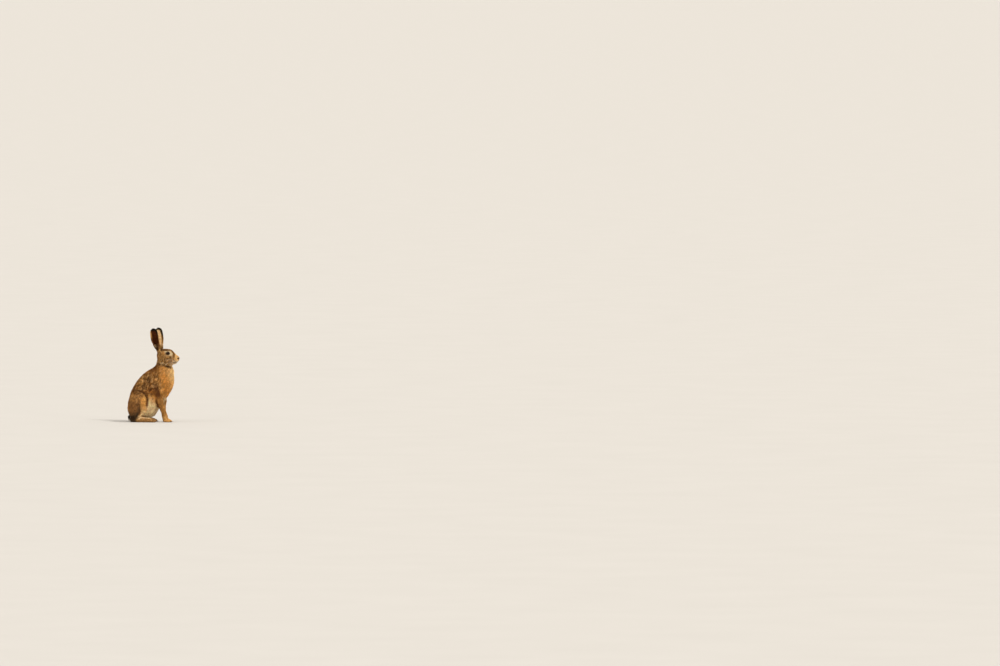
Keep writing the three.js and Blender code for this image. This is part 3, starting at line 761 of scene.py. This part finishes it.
# Moves the skin in by the depth of the coat, less where the solid is thin
def sinkSkin(body):
    co = readPoints(body.data)
    p = toMm(co)
    depth = coatAt(p)[:, 3] + skinPlan["swell"] * 0.5
    for centre in eyeCentre.values():
        depth *= ease(10.5, 17, np.linalg.norm(p - centre, axis=1))
    depth *= np.where(p[:, 2] < 6, 0.6, 1)
    depth *= 1 - 0.35 * ease(312, 322, p[:, 2]) * fade(56, 66, p[:, 0])
    writePoints(body.data, co - readNormals(body.data) * depth[:, None] * mm)


def buildEar(name):
    ear = copyOfNode(name)
    applyModifier(ear, "SUBSURF", levels=2, render_levels=2)
    co = readPoints(ear.data)
    inset = 0.32 * fade(395, 424, co[:, 2] / mm)
    writePoints(ear.data, co - readNormals(ear.data) * inset[:, None] * mm)
    return ear


# Face details: lids, nostrils, lips and the split of the upper lip, brow and cheek
def shapeFace(body):
    selectOnly(body)
    shape = bmesh.new()
    shape.from_mesh(body.data)
    chosen = []
    for face in shape.faces:
        c = face.calc_center_median() / mm + Vector((shiftX, 0, 0))
        front = c.x > 104 and 258 < c.z < 300
        eye = any((c - Vector(e)).length < 17 for e in eyeCentre.values())
        if front or eye:
            chosen.append(face)
    edges = list({edge for face in chosen for edge in face.edges})
    bmesh.ops.subdivide_edges(shape, edges=edges, cuts=1, use_grid_fill=True, smooth=0.0)
    bmesh.ops.triangulate(shape, faces=[f for f in shape.faces if len(f.verts) > 4])
    shape.to_mesh(body.data)
    shape.free()
    co = readPoints(body.data)
    normal = readNormals(body.data)
    p = toMm(co)
    q = np.stack([p[:, 0], np.abs(p[:, 1]), p[:, 2]], 1)
    out = np.zeros(len(p))
    gap = fromLine(p, mouth)
    out -= 0.9 * fade(0.3, 1.5, gap)
    out += 0.55 * ridge(gap, 3.0, 1.6)
    split = fromLine(q, [(130.4, 0, 272), (134, 0, 278), (135.4, 0, 284)], flat=False)
    out -= 1.1 * fade(0.3, 1.5, split)
    hole = np.linalg.norm((q - [130.8, 8.6, 286.6]) @ slitTurn / [3.6, 4.0, 1.5], axis=1)
    out -= 2.2 * fade(0.4, 1.15, hole)
    out += 0.5 * ridge(hole, 1.6, 0.45)
    for name, side in (("left", 1), ("right", -1)):
        away, along, ring = fromEye(p, name, side)
        seen = along > 0
        out += seen * 0.55 * ridge(ring, 10.2, 1.3)  # lid edge
        out -= seen * 0.7 * ridge(ring, 13.4, 1.0) * ease(-4, 5, away[:, 2])  # fold above the lid
        out -= seen * 0.45 * ridge(ring, 13.0, 1.1) * fade(-5, 2, away[:, 2])
    fold = fromLine(asRight(p), thighArc)
    out -= 4.0 * ridge(fold, 0, 4.2) * ease(26, 36, np.abs(p[:, 1]))  # fold above the thigh
    out += 0.9 * region(p, (95, 20, 322), (13, 7, 5), 0.6)  # brow
    out -= 0.9 * region(p, (108, 20, 296), (12, 9, 9), 0.6)  # hollow ahead of the eye
    out += 0.8 * region(p, (120, 13, 276), (9, 7, 7), 0.6)  # whisker pad
    co += normal * out[:, None] * mm
    co[:, 2] = np.maximum(co[:, 2], 0)
    writePoints(body.data, co)


skin = buildBody()
print("body remeshed", len(skin.data.polygons))
thinBody(skin)
relax(skin.data, skinPlan["rounds"])
sinkSkin(skin)
shapeFace(skin)
print("body shaped", len(skin.data.polygons))
for name in earNodes:
    ear = buildEar(name)
    applyModifier(skin, "BOOLEAN", operation="UNION", solver="MANIFOLD", object=ear)
    bpy.data.objects.remove(ear)
applyModifier(skin, "TRIANGULATE")
selectOnly(skin)
bpy.ops.object.shade_smooth()
print("skin joined", len(skin.data.polygons))

editAll(skin, bpy.ops.uv.smart_project, angle_limit=math.radians(72), island_margin=0.002)
skin.data.uv_layers[0].name = "OFBake"
print("skin unwrapped")


def addMarks(mesh, colour):
    layer = mesh.color_attributes.new("marks", "FLOAT_COLOR", "POINT")
    values = np.ones((len(colour), 4), np.float32)
    values[:, :3] = colour
    layer.data.foreach_set("color", values.ravel())


skinPoints = toMm(readPoints(skin.data))
skinNormals = readNormals(skin.data)
skinColour = flecked(skinPoints, markings(skinPoints, skinNormals)) * 0.82
addMarks(skin.data, toLinear(skinColour))
skin.data.materials.clear()
skin.data.materials.append(hairMaterial("skinUnderCoat", 0.05, 0.75, 900.0))
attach(skin, "root")
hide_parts(*bodyNodes, *earNodes)
print("skin coloured")

# Coat: tufts rooted on the skin
coat = {"seed": 5710, "spread": 0.24, "clump": 7.5, "draw": 0.4, "limit": 198000, "patch": 0.003,
        "crowd": 1.6, "slim": 0.8}
pieces = {  # name: material slot and number of cross-sections of a tuft
    "coatHeadLeft": ("coat_brown", 2), "coatHeadRight": ("coat_brown", 2), "coatEars": ("coat_ear", 2),
    "coatBackLeft": ("coat_brown", 3), "coatBackRight": ("coat_brown", 3), "coatChest": ("coat_ochre", 3),
    "coatBelly": ("coat_ochre", 3), "coatThighs": ("coat_brown", 3), "coatForelegs": ("coat_ochre", 2),
    "coatFeet": ("coat_foot", 2), "coatTail": ("coat_tail", 3),
}


def pieceOf(p):
    x, y, z = p.T
    names = list(pieces)
    which = np.where(y > 0, names.index("coatBackLeft"), names.index("coatBackRight"))
    which[x > 40 + 0.12 * (z - 150)] = names.index("coatChest")
    which[((x > -20) & (z < 124)) | ((np.abs(y) < 30) & (z < 34))] = names.index("coatBelly")
    which[(x < -6) & (np.abs(y) > 34) & (z < 136)] = names.index("coatThighs")
    head = headHeight(p) > 258
    which[head & (y > 0)] = names.index("coatHeadLeft")
    which[head & (y <= 0)] = names.index("coatHeadRight")
    which[(z > 322) & (x < earFootX - 0.2 * (z - earFootZ) + 16)] = names.index("coatEars")
    which[z > 336] = names.index("coatEars")
    which[foreMask(p)[0] > 0.5] = names.index("coatForelegs")
    which[(z < 28) & ((x > 46) | (np.abs(y) > 25))] = names.index("coatFeet")
    which[(tailRegion(p, 0.1) > 0.5) & (x < -74)] = names.index("coatTail")
    return which


def sampleRoots(mesh, random):
    mesh.calc_loop_triangles()
    corner = readAll(mesh.loop_triangles, "vertices", 3, np.int32)
    loops = readAll(mesh.loop_triangles, "loops", 3, np.int32)
    uv = readAll(mesh.uv_layers["OFBake"].data, "uv", 2)
    count = len(corner)
    co, normal = toMm(readPoints(mesh)), readNormals(mesh)
    a, b, c = co[corner[:, 0]], co[corner[:, 1]], co[corner[:, 2]]
    area = np.linalg.norm(np.cross(b - a, c - a), axis=1) / 2
    density = coatAt((a + b + c) / 3)[:, 6] * coat["crowd"]
    wanted = area * density
    number = np.floor(wanted + random.random(count)).astype(int)
    picked = np.repeat(np.arange(count), number)
    s, t = random.random(len(picked)), random.random(len(picked))
    over = s + t > 1
    s[over], t[over] = 1 - s[over], 1 - t[over]
    weights = np.stack([1 - s - t, s, t], 1)

    def blend(values, at):
        return (values[at[picked]] * weights[:, :, None]).sum(1)

    return blend(co, corner), unit(blend(normal, corner)), blend(uv, loops)


# Where hair grows: not on soles, in the eye sockets, the nostrils or the mouth
def growsAt(p, normal, random):
    keep = ~((p[:, 2] < 2.5) & (normal[:, 2] < -0.4))
    for centre in eyeCentre.values():
        keep &= np.linalg.norm(p - centre, axis=1) > 12.0
    keep &= fromLine(p - [0, 0, 0.3], mouth) > 1.0
    keep &= fromNostril(p) > 1
    up, _, inside = earPlace(p, normal)
    bareCup = (up > 0.1) & (p[:, 2] > 325) & (inside > 0.5)
    return keep & ~(bareCup & (random.random(len(p)) < 0.55))


# The number of the cell that each root is in, in a grid with wavy sides
def cellOf(root, flatten, wave, seed, size):
    cell = np.floor((root * [1, 1, flatten] + softNoise(root, wave, seed)[:, None] * 3) / size).astype(int)
    return np.unique(cell @ np.array([73856093, 19349663, 83492791]), return_inverse=True)[1]


def growTufts():
    random = np.random.default_rng(coat["seed"])
    root, out, place = sampleRoots(skin.data, random)
    keep = growsAt(root, out, random)
    root, out, place = root[keep], out[keep], place[keep]
    count = len(root)
    plan = coatAt(root)
    way = plan[:, :3]
    isEar = (root[:, 2] > 336) | ((root[:, 2] > 322) & (root[:, 0] < 60))
    earWay = np.stack([np.where(root[:, 1] > 0, -0.14, -0.27), np.sign(root[:, 1]) * 0.2, np.ones(count)], 1)
    way = np.where(isEar[:, None], earWay, way)
    way = unit(way - (way * out).sum(1)[:, None] * out)
    side = np.cross(out, way)
    turn = coat["spread"] * random.normal(size=count) + 0.16 * softNoise(root, 17, 31)
    cos, sin = np.cos(turn)[:, None], np.sin(turn)[:, None]
    way, side = way * cos + side * sin, side * cos - way * sin
    length = plan[:, 4] * random.uniform(0.72, 1.2, count)
    width = plan[:, 5] * random.uniform(0.75, 1.2, count) * coat["slim"]
    lock = softNoise(root * [1.15, 1, 0.8], 13, 61)  # some locks stand higher than those between them
    rise = plan[:, 3] * random.uniform(0.5, 1.0, count) * (0.82 + 0.26 * lock)
    fringe = region(root, (37, 22, 336), (14, 16, 13), 0.3) * isEar  # long pale hair at the foot of each ear
    length *= 1 + 1.5 * fringe
    rise += 3.2 * fringe * random.uniform(0.3, 1.0, count)
    guard = random.random(count) < 0.07  # single hairs that stand out of the coat
    length *= np.where(guard, 1.25, 1)
    width *= np.where(guard, 0.55, 1)
    rise = np.where(guard, plan[:, 3] * random.uniform(1.0, 1.35, count), rise)
    # tips lean towards the middle of their clump
    size = np.where(plan[:, 4] > 10, coat["clump"], coat["clump"] * 0.55)[:, None]
    group = cellOf(root, 0.62, 20, 47, size)
    number = np.bincount(group)
    lockOf = cellOf(root, 0.55, 17, 53, size * 0.85)
    tone = random.uniform(-1, 1, lockOf.max() + 1)[lockOf]
    middle = np.stack([np.bincount(group, root[:, k]) / number for k in range(3)], 1)[group]
    pull = (middle - root) * coat["draw"] * np.clip(length / 12, 0.2, 1)[:, None]
    pull -= (pull * out).sum(1)[:, None] * out
    # each tip comes down onto the skin ahead of its root, at the height of the coat
    tree = BVHTree.FromObject(skin, bpy.context.evaluated_depsgraph_get())
    aim = toMetres(root + way * length[:, None] + pull)
    tip = np.empty((count, 3))
    tipOut = np.empty((count, 3))
    for i, target in enumerate(aim):
        near, normal, _, _ = tree.find_nearest(target)
        tip[i] = near
        tipOut[i] = normal
    tip = toMm(tip)
    bend = (tipOut * out).sum(1)
    tip = np.where((bend > 0.1)[:, None], tip, root + way * length[:, None] * 0.6)
    tipOut = np.where((bend > 0.1)[:, None], tipOut, out)
    tip += tipOut * rise[:, None]
    knee = root + out * rise[:, None] * 1.15 + way * length[:, None] * 0.36 + pull * 0.3
    base = root - out * 0.25
    return dict(base=base, knee=knee, tip=tip, out=out, side=side, width=width, root=root, place=place,
                tipOut=tipOut, lock=lock, tone=tone, which=pieceOf(root), random=random)


def bezier(tufts, t):
    return (1 - t) ** 2 * tufts["base"] + 2 * t * (1 - t) * tufts["knee"] + t * t * tufts["tip"]


# Hair shades from root to tip: a dark root, a clear band and, on some, a dark tip
def tuftShades(tufts):
    random = tufts["random"]
    root, out = tufts["root"], tufts["out"]
    colour = flecked(root, markings(root, out), tufts)
    # a random tone for each tuft, and painted shade between the locks: the lock term makes higher locks
    # lighter and lower ones darker
    colour = colour * (random.uniform(0.86, 1.12, len(root)) + 0.09 * tufts["lock"])[:, None]
    ticked = (root[:, 2] > 60) & (root[:, 2] < 336) & (random.random(len(root)) < 0.3)
    chestLike = region(root, (104, 0, 190), (46, 60, 80), 0.3)
    tipShade = np.where(ticked, 0.55 + 0.4 * chestLike, 1.08)
    return colour, tipShade


def meshTufts(name, tufts, chosen, colour, tipShade):
    sections = pieces[name][1]
    stations = [0, 0.55] if sections == 2 else [0, 0.36, 0.72]
    broad = [0.8, 0.9] if sections == 2 else [0.75, 1.0, 0.66]
    shades = [0.72, 1.0] if sections == 2 else [0.62, 0.95, 1.06]
    part = {k: v[chosen] for k, v in tufts.items() if isinstance(v, np.ndarray)}
    count = len(chosen)
    paleness = ease(140, 220, colour[chosen].mean(1))[:, None]  # pale fur is pale to its roots
    per = 3 * sections + 1
    co = np.empty((count, per, 3))
    shade = np.empty((count, per, 3))
    uv = np.empty((count, per, 2))
    width = part["width"][:, None]
    for s, (t, w, tone) in enumerate(zip(stations, broad, shades)):
        middle = bezier(part, t)
        outWay = unit(part["out"] * (1 - t) + part["tipOut"] * t)
        for k, (across, lift) in enumerate([(-0.5, 0), (0, 0.3), (0.5, 0)]):
            co[:, 3 * s + k] = middle + part["side"] * width * w * across + outWay * width * w * lift
            uv[:, 3 * s + k] = part["place"] + coat["patch"] * np.array([across, t - 0.5])
            rooted = tone + (1 - tone) * 0.7 * paleness
            # painted highlight and shade: the raised middle of each tuft a little lighter, its two edges a
            # little darker
            shade[:, 3 * s + k] = colour[chosen] * rooted * (1.04 if k == 1 else 0.97)
    co[:, -1] = part["tip"]
    co[:, :, 2] = np.maximum(co[:, :, 2], 0.1)
    uv[:, -1] = part["place"] + coat["patch"] * np.array([0, 0.5])
    shade[:, -1] = colour[chosen] * tipShade[chosen][:, None]
    faces = [(0, 1, 2)]
    for s in range(sections - 1):
        for k in range(3):
            a, b = 3 * s + k, 3 * s + (k + 1) % 3
            faces += [(a, a + 3, b + 3), (a, b + 3, b)]
    last = 3 * (sections - 1)
    faces += [(last + k, per - 1, last + (k + 1) % 3) for k in range(3)]
    faces = np.array(faces)[None] + (np.arange(count) * per)[:, None, None]
    faces = faces.reshape(-1, 3)
    mesh = bpy.data.meshes.new(name)
    mesh.vertices.add(count * per)
    mesh.vertices.foreach_set("co", toMetres(co.reshape(-1, 3)).astype(np.float32).ravel())
    mesh.loops.add(faces.size)
    mesh.loops.foreach_set("vertex_index", faces.astype(np.int32).ravel())
    mesh.polygons.add(len(faces))
    mesh.polygons.foreach_set("loop_start", np.arange(0, faces.size, 3, dtype=np.int32))
    mesh.update(calc_edges=True)
    mesh.polygons.foreach_set("use_smooth", np.ones(len(faces), bool))
    layer = mesh.uv_layers.new(name="OFBake")
    layer.data.foreach_set("uv", uv.reshape(-1, 2)[faces.ravel()].astype(np.float32).ravel())
    addMarks(mesh, toLinear(np.clip(shade.reshape(-1, 3), 4, 250)))
    obj = bpy.data.objects.new(name, mesh)
    bpy.context.collection.objects.link(obj)
    return obj


tufts = growTufts()
tuftColour, tuftTip = tuftShades(tufts)
total = 0
coatMaterials = {
    "coat_brown": hairMaterial("agoutiHair", 0.12, 0.6, 700.0),
    "coat_ochre": hairMaterial("ochreHair", 0.14, 0.6, 600.0),
    "coat_ear": hairMaterial("earHair", 0.08, 0.55, 900.0),
    "coat_foot": hairMaterial("footHair", 0.08, 0.62, 900.0),
    "coat_tail": hairMaterial("tailHair", 0.1, 0.6, 500.0),
}
for index, (name, (slot, sections)) in enumerate(pieces.items()):
    chosen = np.nonzero(tufts["which"] == index)[0]
    each = 2 * 3 * (sections - 1) + 4
    most = coat["limit"] // each
    if len(chosen) > most:
        print("thinned", name, len(chosen), "to", most)
        chosen = np.sort(tufts["random"].permutation(chosen)[:most])
    obj = meshTufts(name, tufts, chosen, tuftColour, tuftTip)
    obj.data.materials.append(coatMaterials[slot])
    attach(obj, "root")
    total += each * len(chosen)
    print(name, len(chosen), "tufts")
print("coat", total, "triangles")

# Eyes: a ball with a clear bulge at its front, dark pupil and brown iris
eye = {"bulge": 0.55, "pupil": 26, "iris": 50}


def eyeMaterial(side):
    material, wire = newMaterial(f"eyeGloss{side}")
    centre = toMetres(eyeCentre[side.lower()])
    way = eyeWay * [1, 1 if side == "Left" else -1, 1]
    place = wire.make("ShaderNodeTexCoord", output="Object")
    away = wire.make("ShaderNodeVectorMath", {"operation": "SUBTRACT"}, {0: place, 1: tuple(centre)})
    straight = wire.make("ShaderNodeVectorMath", {"operation": "NORMALIZE"}, {0: away})
    facing = wire.make("ShaderNodeVectorMath", {"operation": "DOT_PRODUCT"},
                       {0: straight, 1: tuple(way)}, output="Value")
    pupilEdge, irisEdge = math.cos(math.radians(eye["pupil"])), math.cos(math.radians(eye["iris"]))
    pupil = facing.between(pupilEdge - 0.012, pupilEdge + 0.006)
    iris = facing.between(irisEdge - 0.03, irisEdge + 0.01)
    threads = wire.noise(1900.0, 3.0)
    brown = threads.between(0.3, 0.7).mixed((0.03, 0.012, 0.004, 1), (0.085, 0.036, 0.01, 1))
    ball = iris.mixed((0.012, 0.007, 0.005, 1), brown)
    colour = pupil.mixed(ball, (0.003, 0.002, 0.002, 1))
    finishMaterial(wire, {"Base Color": colour, "Roughness": threads * 0.03 + 0.05, "IOR": 1.33,
                          "Specular IOR Level": 0.3})
    return material


def buildEye(side):
    centre = toMetres(eyeCentre[side.lower()])
    way = Vector(eyeWay * [1, 1 if side == "Left" else -1, 1])
    bpy.ops.object.select_all(action="DESELECT")
    bpy.ops.mesh.primitive_uv_sphere_add(segments=48, ring_count=32, radius=eyeBallRadius * mm)
    ball = bpy.context.object
    ball.name = ball.data.name = f"eye{side}"
    for vertex in ball.data.vertices:  # the clear front stands a little proud
        height = vertex.co.z / (eyeBallRadius * mm)
        vertex.co += vertex.co.normalized() * eye["bulge"] * mm * max(0, (height - 0.55) / 0.45) ** 1.5
    turned = Vector((0, 0, 1)).rotation_difference(way).to_matrix().to_4x4()
    ball.data.transform(Matrix.Translation(Vector(centre)) @ turned)
    bpy.ops.object.shade_smooth()
    ball.data.materials.append(eyeMaterial(side))
    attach(ball, "root")
    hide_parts(f"eye_{side.lower()}")


buildEye("Left")
buildEye("Right")
print("eyes made")


# One string for a whisker or claw: its points along a bend, and its thickness at each
def tapered(start, reach, bend, thick, count, thin, power=1.0):
    t = np.linspace(0, 1, count)[:, None]
    return start + reach * t + np.array(bend) * t * t, thick * (1 - thin * t[:, 0] ** power)


def stringMesh(name, strings, sides):
    points, faces = [], []
    for line, thick in strings:
        start = len(points)
        for i, (at, radius) in enumerate(zip(line, thick)):
            ahead = unit(line[min(i + 1, len(line) - 1)] - line[max(i - 1, 0)])
            across = unit(np.cross(ahead, [0.13, 0.2, 0.97]))
            other = np.cross(ahead, across)
            for k in range(sides):
                turn = 2 * math.pi * k / sides
                point = at + radius * (math.cos(turn) * across + math.sin(turn) * other)
                points.append(np.maximum(point, [-1e3, -1e3, 0.1]))  # nothing goes into the floor
        for i in range(len(line) - 1):
            for k in range(sides):
                a, b = start + i * sides + k, start + i * sides + (k + 1) % sides
                faces.append((a, b, b + sides, a + sides))
        faces.append(tuple(start + k for k in reversed(range(sides))))
        faces.append(tuple(start + (len(line) - 1) * sides + k for k in range(sides)))
    mesh = bpy.data.meshes.new(name)
    mesh.from_pydata([tuple(toMetres(p)) for p in points], [], faces)
    mesh.update()
    obj = bpy.data.objects.new(name, mesh)
    bpy.context.collection.objects.link(obj)
    editAll(obj, bpy.ops.mesh.normals_make_consistent, inside=False)
    bpy.ops.object.shade_smooth()
    return obj


whisker = {"rows": 4, "each": 5, "length": 46, "thick": 0.16, "droop": 7, "seed": 71}


def buildWhiskers():
    random = np.random.default_rng(whisker["seed"])
    strings = []
    for side in (1, -1):
        for row in range(whisker["rows"]):
            for i in range(whisker["each"]):
                x = 125 - 3.4 * i - 0.8 * row + random.uniform(-0.6, 0.6)
                z = 283 - 3.1 * row - 0.5 * i + random.uniform(-0.5, 0.5)
                start = np.array([x, side * (7.5 + 1.0 * i), z])
                length = whisker["length"] * (0.55 + 0.1 * i) * random.uniform(0.85, 1.15)
                way = np.array([0.3 - 0.28 * i, side * 1.0, 0.22 - 0.16 * row])
                way = unit(way + 0.06 * random.normal(size=3))
                bend = (-7.0, 0, -whisker["droop"])
                strings.append(tapered(start, way * length, bend, whisker["thick"], 7, 0.85))
        for i in range(3):  # above the eye
            start = np.array([88 + 3 * i, side * 21, 321.5 - 0.8 * i])
            reach = unit(np.array([0.1, side * 0.8, 0.6])) * (20 + 3 * i)
            strings.append(tapered(start, reach, (-6, 0, -2), 0.13, 6, 0.85))
    obj = stringMesh("whiskers", strings, 4)
    material, wire = newMaterial("whiskerHorn")
    speckle = wire.noise(150.0)
    colour = speckle.between(0.35, 0.65).mixed((0.52, 0.46, 0.38, 1), (0.78, 0.74, 0.66, 1))
    finishMaterial(wire, {"Base Color": colour, "Roughness": speckle * 0.2 + 0.3})
    obj.data.materials.append(material)
    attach(obj, "root")


claw = {"length": 8.5, "thick": 1.25, "drop": 0.34}


def buildClaws():
    strings = []
    for name, side, heel in (("left", 1, -82), ("right", -1, -70)):
        wrist = foreAxes[name][-1][0]
        toes = [(wrist + ahead, 21 + y, 4.6, 7.4) for y, ahead in ((-8.6, 18), (-3, 22), (3, 22), (8.6, 18))]
        toes += [(heel + ahead, 43 + y, 5.0, 11.5)
                 for y, ahead in ((-11.4, 89), (-3.9, 96), (3.9, 96), (11.4, 89))]
        for x, y, z, reach in toes:
            start = np.array([x + reach - 2.0, side * y, z])
            way = np.array([1, 0, -claw["drop"] * 0.5])
            strings.append(tapered(start, way * claw["length"], (0, 0, -1.5), claw["thick"], 6, 0.86, 1.6))
    obj = stringMesh("claws", strings, 8)
    material, wire = newMaterial("clawHorn")
    streak = wire.noise(420.0)
    colour = streak.between(0.3, 0.7).mixed((0.05, 0.034, 0.024, 1), (0.14, 0.095, 0.062, 1))
    bump = wire.make("ShaderNodeBump", {}, {"Strength": 0.2, "Distance": 0.0002, "Height": streak})
    finishMaterial(wire, {"Base Color": colour, "Roughness": streak * 0.2 + 0.28, "Normal": bump})
    obj.data.materials.append(material)
    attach(obj, "root")


buildWhiskers()
buildClaws()
print("whiskers and claws made")
